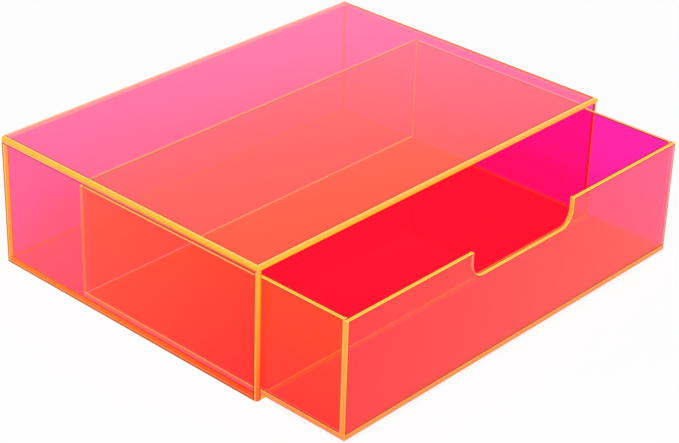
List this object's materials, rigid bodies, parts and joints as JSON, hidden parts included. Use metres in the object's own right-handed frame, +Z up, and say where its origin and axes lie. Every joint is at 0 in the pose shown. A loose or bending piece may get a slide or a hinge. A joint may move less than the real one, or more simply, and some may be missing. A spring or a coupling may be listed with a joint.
{
  "type": "desk organizer",
  "caption": "Desk organizer of clear tinted acrylic sheet: a flat open-fronted casing with one wide, shallow drawer that slides out by a round-cornered finger notch.",
  "frame": {"origin": "middle of the casing's underside, which rests on the desk", "axes": "+Z up, -Y out of the front in the direction that the drawer opens, +X to the right seen from the front"},
  "size_m": [0.3, 0.2767, 0.0855],
  "materials": {
    "casing_acrylic": "clear fluorescent pink-orange tint, polished faces, bright yellow-orange edges",
    "drawer_acrylic": "clear fluorescent pink-orange tint, polished faces, bright yellow-orange edges"
  },
  "bodies": {
    "casing": {"casing_top": "casing_acrylic", "casing_bottom": "casing_acrylic", "casing_left_side": "casing_acrylic", "casing_right_side": "casing_acrylic", "casing_back": "casing_acrylic"},
    "drawer": {"drawer_bottom": "drawer_acrylic", "drawer_front": "drawer_acrylic", "drawer_back": "drawer_acrylic", "drawer_left_side": "drawer_acrylic", "drawer_right_side": "drawer_acrylic"}
  },
  "joints": [
    {"name": "drawer_slide", "type": "slide", "parent": "casing", "child": "drawer", "axis": [0, -1, 0], "range_m": [-0.0644, 0.1223]}
  ]
}
